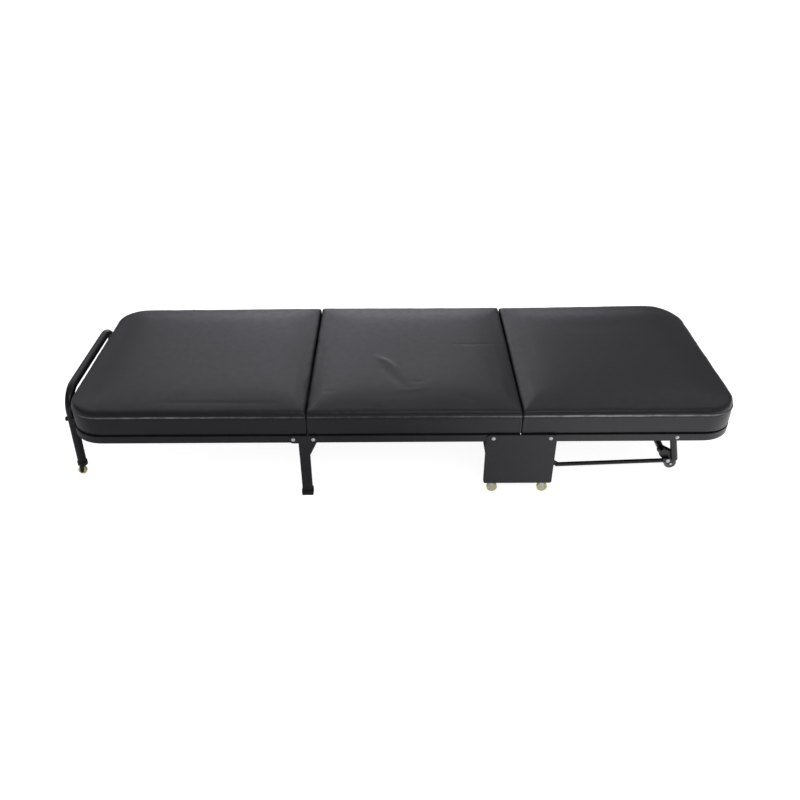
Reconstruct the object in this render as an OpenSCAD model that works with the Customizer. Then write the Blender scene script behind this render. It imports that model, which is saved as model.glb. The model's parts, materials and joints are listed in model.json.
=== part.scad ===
// Folding metal bed: three padded sections on square steel tube frames. A hinge box on casters joins
// the middle and foot sections, a plumb centre leg joins the head and middle sections, a fixed loop
// stands at the head end, and a wheeled leg under the foot section is worked by two link rods.
// X runs along the bed towards the foot end, Y across it and Z up, with the origin on the floor
// under the middle of the bed. The front is the side at -Y.

/* [Sections] */
// From the foot section's pivot on the box to the outside of its end rail
foot_l = 524; // [450:1:620]
// Between the two pivots on the hinge box
box_pivot_l = 160; // [150:1:200]
// Between the middle section's two pivots
middle_l = 502; // [460:1:560]
// Between the two pivots above the centre leg
leg_pivot_l = 56; // [52:1:70]
// From the head section's pivot to the outside of its end rail
head_l = 631; // [560:1:700]
// How far the middle section reaches over the box past its pivot
middle_over = 77; // [50:1:80]
// How far the middle section reaches past its centre leg pivot
middle_leg_over = 17; // [15:1:20]

/* [Frame] */
// Width over the side rails
frame_w = 624; // [560:1:900]
// Height of the rails' underside
rail_z = 188; // [180:1:230]
// Side of the square rail tube
rail_s = 22; // [20:1:25]
// Wall of the rail tube
rail_wall = 1.5; // [1:0.1:2]
// Outer radius of the corners at the two ends
corner_r = 98; // [80:1:160]
// Side of the square cross bars
bar_s = 20; // [16:1:20]
// Rail ends stop this short of each seam
rail_end_gap = 2.2; // [2:0.1:3]

/* [Cushions] */
// Thickness of the board under each cushion
board_t = 5; // [4:0.5:9]
// The board's edge sits this far inside the cushion
board_inset = 7; // [4:0.5:15]
// A cushion's side sits this far inside the frame's
cushion_in = 1; // [0:0.5:6]
// Height of a cushion at its edge
cushion_edge_t = 67; // [50:1:90]
// Rise of the crown above the edge
crown_h = 12; // [6:1:20]
// Radius of the padded top edge
cushion_edge_r = 20; // [12:1:25]
// How far the sides are drawn in at the bottom
side_draw = 4; // [1:0.5:8]
// Corner radius of a cushion at a seam
seam_corner_r = 12; // [12:1:40]
// Half of the gap between two cushions at a seam
seam_half_gap = 1.5; // [1:0.1:3]
// A cushion stops this far inside the outer end of its frame
cushion_end_gap = 3; // [1:0.5:8]

/* [Hinge box] */
// Thickness of the sheet steel
sheet_t = 2; // [1.5:0.1:3]
// Side plate's edge beyond the middle pivot
box_edge_middle = 19.5; // [16:0.5:30]
// Side plate's edge beyond the foot pivot
box_edge_foot = 17.5; // [14:0.5:24]
// Side plate's top above the rails
box_top_over = 1; // [0:0.5:3]
// Corner radius at the plate's top
box_top_r = 12; // [8:1:14]
// Corner radius at the plate's bottom
box_bottom_r = 5; // [2:1:10]
// Width of the folded side flanges
flange_w = 10; // [6:1:16]
// Width of the folded bottom flange
bottom_flange_w = 36; // [34:1:50]
// Radius of the two cross tubes
cross_r = 10; // [8:1:12]
// Cross tube centres above the plates' lower edge
cross_rise = 52; // [48:1:54]

/* [Centre leg] */
// Width of the leg tube along the bed
leg_w = 28; // [24:1:30]
// Depth of the leg tube across the bed
leg_d = 20; // [15:1:25]
// Wall of the leg tube
leg_wall = 1.5; // [1:0.1:2]
// Gap between the leg tube's top and the rails
leg_top_gap = 2.5; // [2:0.1:5]
// Ear radius of the hinge plate round its pivots
ear_r = 12.5; // [11:0.5:15]
// How far the gusset reaches down below the rails
gusset_drop = 48; // [30:1:80]
// Wall of the rubber foot
foot_wall = 2.5; // [2:0.5:4]
// Thickness of the rubber under the tube
foot_sole = 6; // [4:0.5:10]
// How far the rubber foot goes up the tube
foot_up = 10; // [8:1:25]
// Radius of the tube that joins the two centre legs
leg_cross_r = 8; // [6:0.5:9]

/* [Rivets and pins] */
// Radius of the hinge rivets
rivet_r = 4; // [3:0.1:5]
// Radius of a rivet's head
rivet_head_r = 5.5; // [5.2:0.1:8]
// Height of a rivet's head
rivet_head_h = 2.6; // [2:0.1:4]
// Running clearance of a pin in its hole
pin_gap = 0.06; // [0.02:0.01:0.1]
// Clearance between a rail and the plate beside it
side_gap = 0.6; // [0.3:0.1:1]

/* [End loop] */
// Radius of the loop's tube
loop_r = 12.5; // [10:0.5:14]
// Wall of the loop's tube
loop_wall = 1.5; // [1:0.1:2]
// Loop leg centre from the middle of the bed
loop_y = 204; // [180:1:212]
// Loop's top centre above the pivots
loop_rise = 84; // [60:0.5:90]
// Centre line radius of the loop's bends
loop_bend_r = 60; // [40:1:70]
// How far the loop leans out at its foot, in degrees
loop_lean = 2; // [0:0.1:4]
// Thickness of the pad between loop and frame
pad_t = 6.5; // [4:0.5:8]
// Side of the pad
pad_s = 30; // [26:1:40]
// Radius of the loop bolts
bolt_r = 4; // [3:0.5:5]

/* [Wheel leg] */
// Foot pivot to the wheel leg's pivot
wheel_leg_x = 354; // [340:1:380]
// Radius of the pivot tube, the arms and the lower cross tube
arm_r = 10; // [8:0.5:10]
// Arm centre from the middle of the bed
arm_y = 205; // [190:1:215]
// Arm's top ahead of its pivot
arm_top_x = 18; // [14:1:20]
// Arm's foot ahead of its pivot
arm_foot_x = 54; // [50:1:60]
// Gap between the wheel's tread and the arm's foot
arm_wheel_gap = 5; // [4:0.5:8]
// Lower cross tube ahead of the pivot
stay_x = 19; // [17:1:21]
// Lower cross tube above the floor
stay_z = 60; // [58:1:66]
// Radius of the leg's wheels
wheel_r = 18.5; // [16:0.5:19]
// Width of the leg's wheels
wheel_w = 17; // [12:1:18]
// Wheel axle ahead of the pivot
wheel_x = 49; // [47:1:51]
// Thickness of the wheel brackets
bracket_t = 3; // [2:0.5:4]
// Outer face of the outer bracket inwards from the arm's centre line
bracket_in = 3.5; // [2:0.5:6]
// Gap between a wheel and its brackets
wheel_side_gap = 1; // [0.5:0.1:2]
// Radius of the wheel axles
axle_r = 4; // [3:0.5:4]

/* [Link rods] */
// Radius of a link rod
rod_r = 6.5; // [4:0.5:7]
// Radius of the eye at each end of a rod
eye_r = 8; // [7:0.5:8]
// Thickness of the flattened eye
eye_t = 4; // [3:0.5:5]
// How far a rod's end at the box drops from its pivot
rod_joggle = 13; // [0:0.5:15]
// Gap between a rod and the plate beside it
rod_gap = 0.5; // [0.3:0.1:1]
// Radius of the rod pins
rod_pin_r = 3; // [2:0.5:4]
// Rod pivot ahead of the section pivot it works from
link_x = 34; // [32:1:36]
// Rod pivot below the section pivot
link_drop = 160; // [150:1:161]
// Clearance of the rod's far pin, which is left open
open_pin_gap = 0.3; // [0.2:0.05:0.5]
// Thickness of the lug that carries the rod on the box
lug_t = 4; // [3:0.5:6]

/* [Casters] */
// Radius of the box casters' wheels
caster_r = 15; // [12:0.5:15]
// Width of the casters' wheels
caster_w = 13; // [10:1:14]
// How far a caster's wheel trails its pin
caster_trail = 5; // [4:0.5:9]
// Thickness of a caster's plate
caster_plate_t = 2; // [1.5:0.5:3]
// Side of a caster's plate
caster_plate_s = 32; // [28:1:32]
// Crown of the fork above its wheel
caster_crown_gap = 6; // [4:0.5:8]
// Thickness of the fork's crown
crown_t = 2.5; // [2:0.5:4]
// Thickness of the fork's cheeks
cheek_t = 1.5; // [1:0.1:2]
// Gap under a caster's plate
swivel_gap = 0.5; // [0.3:0.1:1]
// Caster pin inwards from the box's edge on the head side
caster_in_middle = 22.5; // [19:0.5:36]
// Caster pin inwards from the box's edge on the foot side
caster_in_foot = 27.5; // [19:0.5:36]
// Radius of the casters' pins and axles
caster_pin_r = 3; // [2.5:0.1:3.5]
// Radius of the loop casters' wheels
loop_caster_r = 12.5; // [11:0.5:13]
// How far the plastic ferrule goes up the loop's tube
ferrule_up = 10; // [8:1:16]
// Wall of the ferrule
ferrule_wall = 2; // [1.5:0.5:3]

/* [Board screws] */
// Radius of a board screw
screw_r = 2.5; // [2:0.1:3]
// Radius of a board screw's head
screw_head_r = 5; // [4:0.1:6]
// Height of a board screw's head
screw_head_h = 2; // [1.5:0.1:3]
// How far a screw goes into the board
screw_bite = 3.5; // [2:0.1:3.8]
// Screw from the middle of the bed
screw_y = 180; // [120:1:230]

/* [Hidden] */
$fn = 48;

// Cuts run past the faces they open by this much
over = 1;
// Rims, caps and bolt ends stand out past what they hold by this much
rim = 1;
// Flats of a hexagon head over its bolt radius
hex_share = 1.85;
// Height of a bolt head or nut over its bolt radius
hex_h_share = 1.3;

// Heights
pivot_z = rail_z + rail_s / 2;
rail_top = rail_z + rail_s;
board_top = rail_top + board_t;
lean_drop = (loop_r + ferrule_wall) * sin(loop_lean);
loop_end_z = 2 * loop_caster_r + caster_crown_gap + crown_t + swivel_gap + lean_drop + ferrule_wall;
box_z = 2 * caster_r + caster_crown_gap + crown_t + swivel_gap + caster_plate_t;

// Places along the bed, from the foot end to the head end
loop_drop = (pivot_z - loop_end_z) / cos(loop_lean);
ferrule_out = (loop_drop + ferrule_wall) * sin(loop_lean) + (loop_r + ferrule_wall) * cos(loop_lean);
caster_out = loop_drop * sin(loop_lean) + caster_trail + loop_caster_r;
loop_reach = pad_t + loop_r + max(ferrule_out, caster_out);
bed_l = foot_l + box_pivot_l + middle_l + leg_pivot_l + head_l + loop_reach;
x_end = bed_l / 2;
x_foot = x_end - foot_l;
x_middle = x_foot - box_pivot_l;
x_leg = x_middle - middle_l;
x_head = x_leg - leg_pivot_l;
x_head_end = x_head - head_l;
x_box_seam = x_middle + middle_over;
x_leg_seam = x_leg - middle_leg_over;
x_loop = x_head_end - pad_t - loop_r;
x_loop_foot = x_loop - loop_drop * sin(loop_lean);
x_leg_mid = (x_leg + x_head) / 2;
x_wheel_leg = x_foot + wheel_leg_x;

// Places across the bed
rail_face = frame_w / 2;
cushion_w = frame_w - 2 * cushion_in;
rail_inner = rail_face - rail_s;
plate_inner = rail_face + side_gap;
plate_outer = plate_inner + sheet_t;
bracket_outer = arm_y - bracket_in;
wheel_outer = bracket_outer - bracket_t - wheel_side_gap;
wheel_y = wheel_outer - wheel_w / 2;
bracket_inner = wheel_outer - wheel_w - wheel_side_gap;
rod_y = bracket_outer + rod_gap + rod_r;
caster_y = plate_outer - bottom_flange_w / 2;

// Cross bar places as shares of each section's length
head_bar_shares = [0.1, 0.42, 0.72];
middle_bar_shares = [0.12, 0.5, 0.86];
foot_bar_shares = [0.1, 0.34];
// Bars that the board screws go through
screw_bars = [0, 1];

// A round bar along Y
module bar_y(r, y0, y1) {
    translate([0, y0, 0])
        rotate([-90, 0, 0])
            cylinder(r = r, h = y1 - y0);
}

// A round bar between two points of the X and Z plane, centred on Y 0
module bar_xz(r, x0, z0, x1, z1) {
    run = sqrt((x1 - x0) * (x1 - x0) + (z1 - z0) * (z1 - z0));
    translate([x0, 0, z0])
        rotate([0, atan2(x1 - x0, z1 - z0), 0])
            cylinder(r = r, h = run);
}

// An outline of the X and Z plane made into a plate from y0 to y1
module plate_xz(y0, y1) {
    translate([0, y1, 0])
        rotate([90, 0, 0])
            linear_extrude(y1 - y0)
                children();
}

// The front piece, or its mirror image at the back
module on_side(back) {
    mirror([0, back ? 1 : 0, 0])
        children();
}

// Both the front piece and its mirror image
module on_both_sides() {
    for (back = [false, true])
        on_side(back)
            children();
}

// A rectangle from x0 to x1 with rounded corners, r0 at x0 and r1 at x1
module rounded_2d(x0, x1, w, r0, r1) {
    translate([x0 + r0, -w / 2])
        square([x1 - x0 - r0 - r1, w]);
    translate([x0, r0 - w / 2])
        square([r0, w - 2 * r0]);
    translate([x1 - r1, r1 - w / 2])
        square([r1, w - 2 * r1]);
    for (s = [-1, 1]) {
        translate([x0 + r0, s * (w / 2 - r0)])
            circle(r = r0);
        translate([x1 - r1, s * (w / 2 - r1)])
            circle(r = r1);
    }
}

// A rivet through wall_t from the outer face at Y 0 inwards, with a dome outside and a flat inside
module rivet(wall_t, r, head_r, head_h) {
    dome_r = (head_r * head_r + head_h * head_h) / (2 * head_h);
    intersection() {
        translate([0, dome_r - head_h, 0])
            sphere(r = dome_r);
        bar_y(head_r, -head_h, 0);
    }
    bar_y(r, -head_h / 2, wall_t + head_h / 2);
    bar_y(head_r, wall_t, wall_t + head_h / 2);
}

// Solid run of a frame's tube: two side rails, round corners, an end rail and cross bars
module frame_run(s, x0, l, bars, bar) {
    rail_c = rail_face - rail_s / 2;
    bend_c = corner_r - rail_s / 2;
    for (side = [-1, 1]) {
        translate([x0, side * rail_c - s / 2, -s / 2])
            cube([l - corner_r - x0, s, s]);
        mirror([0, side < 0 ? 1 : 0, 0])
            translate([l - corner_r, rail_face - corner_r, 0])
                rotate_extrude(angle = 90)
                    translate([bend_c - s / 2, -s / 2])
                        square([s, s]);
    }
    translate([l - rail_s / 2 - s / 2, corner_r - rail_face, -s / 2])
        cube([s, 2 * (rail_face - corner_r), s]);
    for (x = bars)
        translate([x - bar / 2, -rail_c, rail_s / 2 - bar_s / 2 - bar / 2])
            cube([bar, 2 * rail_c, bar]);
}

// End section frame: open at the hinge, closed and rounded at its far end, pivot at X 0
module end_frame(overhang, l, bars, bores) {
    difference() {
        frame_run(rail_s, rail_end_gap - overhang, l, bars, bar_s);
        frame_run(hollow_s, rail_end_gap - overhang - over, l, bars, bar_s - 2 * rail_wall);
        for (x = bores)
            translate([x, 0, 0])
                bar_y(rivet_r + pin_gap, -rail_face - over, rail_face + over);
        screw_holes([for (i = screw_bars) bars[i]]);
    }
}

// Holes for the board screws through the cross bars at the given places
module screw_holes(places) {
    for (x = places, s = [-1, 1])
        translate([x, s * screw_y, -rail_s])
            cylinder(r = screw_r + pin_gap, h = 2 * rail_s);
}

// Side rails and cross bars of the middle section between two hinge ends
module middle_run(s, x0, x1, bars, bar) {
    rail_c = rail_face - rail_s / 2;
    for (side = [-1, 1])
        translate([x0, side * rail_c - s / 2, -s / 2])
            cube([x1 - x0, s, s]);
    for (x = bars)
        translate([x - bar / 2, -rail_c, rail_s / 2 - bar_s / 2 - bar / 2])
            cube([bar, 2 * rail_c, bar]);
}

hollow_s = rail_s - 2 * rail_wall;
head_bars = [for (share = head_bar_shares) share * head_l];
foot_bars = [for (share = foot_bar_shares) share * foot_l];
middle_bars = [for (share = middle_bar_shares) share * middle_l];
foot_over = box_pivot_l - middle_over;
head_over = leg_pivot_l - middle_leg_over;

module head_frame() {
    color("#1c1c1e")
        translate([x_head, 0, pivot_z])
            mirror([1, 0, 0])
                difference() {
                    end_frame(head_over, head_l, head_bars, [0]);
                    for (s = [-1, 1])
                        translate([head_l - 2 * rail_s, s * loop_y, 0])
                            rotate([0, 90, 0])
                                cylinder(r = bolt_r + pin_gap, h = 3 * rail_s);
                }
}

module foot_frame() {
    color("#1c1c1e")
        translate([x_foot, 0, pivot_z])
            end_frame(foot_over, foot_l, foot_bars, [0, wheel_leg_x]);
}

module middle_frame() {
    x0 = rail_end_gap - middle_leg_over;
    x1 = middle_l + middle_over - rail_end_gap;
    color("#1c1c1e")
        translate([x_leg, 0, pivot_z])
            difference() {
                middle_run(rail_s, x0, x1, middle_bars, bar_s);
                middle_run(hollow_s, x0 - over, x1 + over, middle_bars, bar_s - 2 * rail_wall);
                for (x = [0, middle_l])
                    translate([x, 0, 0])
                        bar_y(rivet_r + pin_gap, -rail_face - over, rail_face + over);
                screw_holes([for (i = screw_bars) middle_bars[i]]);
            }
}

// Board of one section, with pilot holes for its screws
module board(x0, x1, r0, r1, screw_places) {
    color("#b08d5b")
        difference() {
            translate([0, 0, rail_top])
                linear_extrude(board_t)
                    rounded_2d(x0 + board_inset, x1 - board_inset, cushion_w - 2 * board_inset, r0, r1);
            for (x = screw_places, s = [-1, 1])
                translate([x, s * screw_y, rail_top - over])
                    cylinder(r = screw_r + pin_gap, h = screw_bite + over);
        }
}

head_screw_places = [for (i = screw_bars) x_head - head_bars[i]];
middle_screw_places = [for (i = screw_bars) x_leg + middle_bars[i]];
foot_screw_places = [for (i = screw_bars) x_foot + foot_bars[i]];
end_corner_r = corner_r - cushion_end_gap;

module head_board() {
    x0 = x_head_end + cushion_end_gap;
    board(x0, x_leg_seam, end_corner_r - board_inset, board_inset, head_screw_places);
}

module middle_board() {
    board(x_leg_seam, x_box_seam, board_inset, board_inset, middle_screw_places);
}

module foot_board() {
    x1 = x_end - cushion_end_gap;
    board(x_box_seam, x1, board_inset, end_corner_r - board_inset, foot_screw_places);
}

// Pan head screws up through the cross bars into the board
module board_screws(places) {
    color("#b9bbbd")
        for (x = places, s = [-1, 1])
            translate([x, s * screw_y, rail_top - bar_s - screw_head_h]) {
                cylinder(r = screw_head_r, h = screw_head_h);
                cylinder(r = screw_r, h = screw_head_h + bar_s + screw_bite - pin_gap);
            }
}

// Steps round each corner's arc of a cushion
arc_steps = 7;
// Steps along each straight side of a cushion
side_steps = 5;
// Steps round the padded top edge
edge_steps = 4;
// Shares of the half size where the crown's rings lie
crown_shares = [0.93, 0.82, 0.66, 0.46, 0.24];

// Centre and radius of one corner of a cushion's outline, drawn in by inset
function corner_at(k, x0, x1, w, r0, r1, inset) =
    let (
        far = k == 0 || k == 3,
        r = max(far ? r1 - inset : r0 - inset, seam_corner_r / 4)
    )
    [
        far ? x1 - inset - r : x0 + inset + r,
        (k < 2 ? 1 : -1) * (w / 2 - inset - r),
        r
    ];

function arc_point(c, a) = [c[0] + c[2] * cos(a), c[1] + c[2] * sin(a)];

// One ring of a cushion's outline, drawn in by inset, with corner radius r0 at x0 and r1 at x1
function ring(x0, x1, w, r0, r1, inset) = [
    for (k = [0:3])
        let (
            c = corner_at(k, x0, x1, w, r0, r1, inset),
            next = corner_at((k + 1) % 4, x0, x1, w, r0, r1, inset),
            start = arc_point(c, 90 * k + 90),
            run = arc_point(next, 90 * k + 90) - start
        )
        each [
            for (i = [0:arc_steps])
                arc_point(c, 90 * k + 90 * i / arc_steps),
            for (i = [1:side_steps - 1])
                start + run * i / side_steps
        ]
];

// A cushion: drawn-in sides, a padded top edge and a crown
module cushion(x0, x1, r0, r1) {
    n = 4 * (arc_steps + side_steps);
    mid = (x0 + x1) / 2;
    half_x = (x1 - x0) / 2 - cushion_edge_r;
    half_y = cushion_w / 2 - cushion_edge_r;
    swell = side_draw / 2;
    side_levels = [
        [side_draw, 0],
        [swell, (cushion_edge_t - cushion_edge_r) / 4],
        [0, (cushion_edge_t - cushion_edge_r) * 2 / 3],
        for (i = [0:edge_steps])
            let (a = 90 * i / edge_steps)
            [cushion_edge_r * (1 - cos(a)), cushion_edge_t - cushion_edge_r + cushion_edge_r * sin(a)]
    ];
    top_ring = ring(x0, x1, cushion_w, r0, r1, cushion_edge_r);
    points = [
        for (level = side_levels)
            for (p = ring(x0, x1, cushion_w, r0, r1, level[0]))
                [p[0], p[1], level[1]],
        for (share = crown_shares)
            for (p = top_ring)
                let (
                    x = (p[0] - mid) * share,
                    y = p[1] * share,
                    rise = (1 - pow(x / half_x, 2)) * (1 - pow(y / half_y, 2))
                )
                [mid + x, y, cushion_edge_t + crown_h * rise],
        [mid, 0, 0],
        [mid, 0, cushion_edge_t + crown_h]
    ];
    rings = len(side_levels) + len(crown_shares);
    faces = [
        for (k = [0:rings - 2], i = [0:n - 1])
            let (j = (i + 1) % n)
            each [
                [k * n + i, (k + 1) * n + i, (k + 1) * n + j],
                [k * n + i, (k + 1) * n + j, k * n + j]
            ],
        for (i = [0:n - 1])
            let (j = (i + 1) % n)
            each [
                [rings * n, i, j],
                [rings * n + 1, (rings - 1) * n + j, (rings - 1) * n + i]
            ]
    ];
    color("#2a2a2c")
        translate([0, 0, board_top])
            polyhedron(points, faces);
}

module head_cushion() {
    cushion(x_head_end + cushion_end_gap, x_leg_seam - seam_half_gap, end_corner_r, seam_corner_r);
}

module middle_cushion() {
    cushion(x_leg_seam + seam_half_gap, x_box_seam - seam_half_gap, seam_corner_r, seam_corner_r);
}

module foot_cushion() {
    cushion(x_box_seam + seam_half_gap, x_end - cushion_end_gap, seam_corner_r, end_corner_r);
}

box_x0 = x_middle - box_edge_middle;
box_x1 = x_foot + box_edge_foot;
box_top = rail_top + box_top_over;
flange_top = rail_z - leg_top_gap - sheet_t;
cross_z = box_z + cross_rise;
caster_xs = [box_x0 + caster_in_middle, box_x1 - caster_in_foot];

// Upright sheet of the box's side, with rounded corners
module box_outline() {
    half = (box_top - box_z) / 2;
    translate([0, box_z + half])
        rotate(90)
            rounded_2d(-half, half, box_x1 - box_x0, box_bottom_r, box_top_r);
}

// Folded sheet side of the hinge box: web, two side flanges and a bottom flange
module box_plate() {
    color("#232325")
        difference() {
            union() {
                translate([(box_x0 + box_x1) / 2, 0, 0])
                    plate_xz(-plate_outer, -plate_inner)
                        box_outline();
                for (x = [box_x0, box_x1 - sheet_t])
                    translate([x, -plate_outer, box_z + box_bottom_r])
                        cube([sheet_t, sheet_t + flange_w, flange_top - box_z - box_bottom_r]);
                translate([box_x0 + box_bottom_r, -plate_outer, box_z])
                    cube([box_x1 - box_x0 - 2 * box_bottom_r, bottom_flange_w, sheet_t]);
            }
            for (x = [x_middle, x_foot])
                translate([x, 0, pivot_z])
                    bar_y(rivet_r + pin_gap, -plate_outer - over, -plate_inner + over);
        }
}

module box_plate_front() {
    box_plate();
}

module box_plate_back() {
    on_side(true)
        box_plate();
}

// Two tubes that join the box's side plates
module box_cross_tubes() {
    color("#232325")
        for (x = [x_middle, x_foot])
            translate([x, 0, cross_z])
                difference() {
                    bar_y(cross_r, -plate_inner, plate_inner);
                    bar_y(cross_r - rail_wall, -plate_inner - over, plate_inner + over);
                }
}

lug_y = bracket_outer - lug_t;

// Lugs from the foot side cross tube to the link rods' pivots
module link_lugs() {
    color("#232325")
        on_both_sides()
            difference() {
                plate_xz(-bracket_outer, -lug_y)
                    hull() {
                        translate([x_foot, cross_z])
                            circle(r = cross_r + bracket_t, $fn = 32);
                        translate([x_foot + link_x, pivot_z - link_drop])
                            circle(r = eye_r, $fn = 32);
                    }
                translate([x_foot, 0, cross_z])
                    bar_y(cross_r, -bracket_outer - over, over - lug_y);
                translate([x_foot + link_x, 0, pivot_z - link_drop])
                    bar_y(rod_pin_r + pin_gap, -bracket_outer - over, over - lug_y);
            }
}

// Pins with a head outside the rod's eye, inwards through the plate beside it
module rod_pins(x, plate_t) {
    head_h = rod_pin_r / 2;
    color("#c9cbcd")
        on_both_sides()
            translate([x, 0, pivot_z - link_drop]) {
                bar_y(2 * rod_pin_r, -rod_y - eye_t / 2 - rod_gap - head_h, -rod_y - eye_t / 2 - rod_gap);
                bar_y(rod_pin_r, -rod_y - eye_t / 2 - rod_gap - head_h / 2, -bracket_outer + plate_t);
            }
}

module link_lug_pins() {
    rod_pins(x_foot + link_x, lug_t);
}

module link_end_pins() {
    rod_pins(x_wheel_leg + link_x, bracket_t);
}

// Flattened end of a rod, from its eye to where the round rod begins
module eye_2d(x0, z0, x1, z1) {
    hull() {
        translate([x0, z0])
            circle(r = eye_r, $fn = 32);
        translate([x1, z1])
            circle(r = rod_r, $fn = 32);
    }
}

// One rod with a flattened eye at each end
module link_rod() {
    x0 = x_foot + link_x;
    x1 = x_wheel_leg + link_x;
    neck = 2 * eye_r;
    color("#141415")
        translate([0, -rod_y, pivot_z - link_drop])
            difference() {
                union() {
                    bar_xz(rod_r, x0 + neck, -rod_joggle, x1 - neck, 0);
                    plate_xz(-eye_t / 2, eye_t / 2) {
                        eye_2d(x0, 0, x0 + neck + rod_r, -rod_joggle);
                        eye_2d(x1, 0, x1 - neck - rod_r, 0);
                    }
                }
                translate([x0, 0, 0])
                    bar_y(rod_pin_r + pin_gap, -eye_t, eye_t);
                translate([x1, 0, 0])
                    bar_y(rod_pin_r + open_pin_gap, -eye_t, eye_t);
            }
}

module link_rod_front() {
    link_rod();
}

module link_rod_back() {
    on_side(true)
        link_rod();
}

// Hinge rivets on both sides through the outer plate and the rail
module hinge_rivets(xs) {
    color("#d8dadb")
        on_both_sides()
            for (x = xs)
                translate([x, -plate_outer, pivot_z])
                    rivet(plate_outer - rail_inner + side_gap, rivet_r, rivet_head_r, rivet_head_h);
}

module box_rivets() {
    hinge_rivets([x_middle, x_foot]);
}

module leg_rivets() {
    hinge_rivets([x_head, x_leg]);
}

// Plates under the box's bottom flanges that carry the four casters
module caster_plates() {
    color("#c4c6c8")
        on_both_sides()
            for (x = caster_xs)
                translate([x, -caster_y, box_z - caster_plate_t])
                    difference() {
                        translate([-caster_plate_s / 2, -caster_plate_s / 2, 0])
                            cube([caster_plate_s, caster_plate_s, caster_plate_t]);
                        translate([0, 0, -over])
                            cylinder(r = caster_pin_r + pin_gap, h = caster_plate_t + 2 * over);
                    }
}

// Swivelling fork with its pin and its riveted axle, top face of the crown at Z 0, wheel trailing to +X
module caster_fork(r, top_z, pin_up) {
    cheek_r = caster_pin_r + cheek_t + rim;
    fork_w = caster_w + 2 * (cheek_t + swivel_gap);
    crown_r = fork_w / 2 + rim;
    color("#b9bbbd")
        translate([0, 0, top_z]) {
            translate([0, 0, -crown_t])
                cylinder(r = crown_r, h = crown_t);
            cylinder(r = caster_pin_r, h = pin_up);
            for (side = [0, 1])
                mirror([0, side, 0])
                    plate_xz(-fork_w / 2, cheek_t - fork_w / 2) {
                        translate([caster_trail, r - top_z])
                            circle(r = cheek_r);
                        polygon([
                            [caster_trail - crown_r, -crown_t],
                            [crown_r - cheek_t, -crown_t],
                            [caster_trail + cheek_r, r - top_z],
                            [caster_trail - cheek_r, r - top_z]
                        ]);
                    }
            translate([caster_trail, 0, r - top_z])
                bar_y(caster_pin_r, -fork_w / 2 - cheek_t, fork_w / 2 + cheek_t);
        }
}

// Wheel with a rounded tread and a running bore, axis along Y
module wheel(r, w, bore_r) {
    round_r = w / 5;
    rotate([90, 0, 0])
        rotate_extrude()
            difference() {
                union() {
                    translate([bore_r, -w / 2])
                        square([r - round_r - bore_r, w]);
                    translate([bore_r, round_r - w / 2])
                        square([r - bore_r, w - 2 * round_r]);
                    for (s = [-1, 1])
                        translate([r - round_r, s * (w / 2 - round_r)])
                            circle(r = round_r);
                }
                for (s = [-1, 1])
                    translate([r * 0.45, s * w / 2 - (s > 0 ? cheek_t / 2 : 0)])
                        square([r * 0.28, cheek_t / 2]);
            }
}

// Order of the four box casters: front head side, front foot side, back head side, back foot side
module at_box_caster(i) {
    translate([caster_xs[i % 2], i < 2 ? -caster_y : caster_y, 0])
        children();
}

module box_caster_fork(i) {
    at_box_caster(i)
        caster_fork(caster_r, box_z - caster_plate_t - swivel_gap, swivel_gap + caster_plate_t);
}

module box_caster_wheel(i) {
    color("#d8c878")
        at_box_caster(i)
            translate([caster_trail, 0, caster_r])
                wheel(caster_r, caster_w, caster_pin_r + pin_gap);
}

// Top of a loop caster's fork, clear of the leaning ferrule
loop_fork_z = loop_end_z - ferrule_wall - lean_drop - swivel_gap;

module loop_caster_fork(i) {
    translate([x_loop_foot, (i == 0 ? -1 : 1) * loop_y, 0])
        mirror([1, 0, 0])
            caster_fork(loop_caster_r, loop_fork_z, loop_end_z + ferrule_up - loop_fork_z);
}

module loop_caster_wheel(i) {
    color("#d8c878")
        translate([x_loop_foot - caster_trail, (i == 0 ? -1 : 1) * loop_y, loop_caster_r])
            wheel(loop_caster_r, caster_w, caster_pin_r + pin_gap);
}

leg_top = rail_z - leg_top_gap;
leg_x0 = x_leg_mid - leg_w / 2;
leg_x1 = x_leg_mid + leg_w / 2;

// Upright tube of the centre leg, closed at its foot
module leg_tube() {
    color("#1f1f21")
        difference() {
            translate([leg_x0, -plate_inner, foot_sole])
                cube([leg_w, leg_d, leg_top - foot_sole]);
            translate([leg_x0 + leg_wall, leg_wall - plate_inner, foot_sole + leg_wall])
                cube([leg_w - 2 * leg_wall, leg_d - 2 * leg_wall, leg_top]);
        }
}

module leg_tube_front() {
    leg_tube();
}

module leg_tube_back() {
    on_side(true)
        leg_tube();
}

// Plate that holds both rivets beside the rails and runs down the leg as a gusset
module leg_plate() {
    low = pivot_z - ear_r;
    color("#1f1f21")
        difference() {
            plate_xz(-plate_outer, -plate_inner) {
                for (x = [x_head, x_leg])
                    translate([x, pivot_z])
                        circle(r = ear_r);
                translate([x_head, low])
                    square([leg_pivot_l, 2 * ear_r]);
                polygon([
                    [leg_x0, pivot_z],
                    [leg_x0, rail_z - gusset_drop],
                    [leg_x1, rail_z - gusset_drop],
                    [x_leg + ear_r * cos(30), pivot_z - ear_r * sin(30)]
                ]);
            }
            for (x = [x_head, x_leg])
                translate([x, 0, pivot_z])
                    bar_y(rivet_r + pin_gap, -plate_outer - over, over - plate_inner);
        }
}

module leg_plate_front() {
    leg_plate();
}

module leg_plate_back() {
    on_side(true)
        leg_plate();
}

// Tube that joins the two centre legs close under the frames
module leg_cross_tube() {
    color("#1f1f21")
        translate([x_leg_mid, 0, leg_top - leg_cross_r - leg_top_gap])
            difference() {
                bar_y(leg_cross_r, leg_d - plate_inner, plate_inner - leg_d);
                bar_y(leg_cross_r - leg_wall, leg_d - plate_inner - over, plate_inner - leg_d + over);
            }
}

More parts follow.
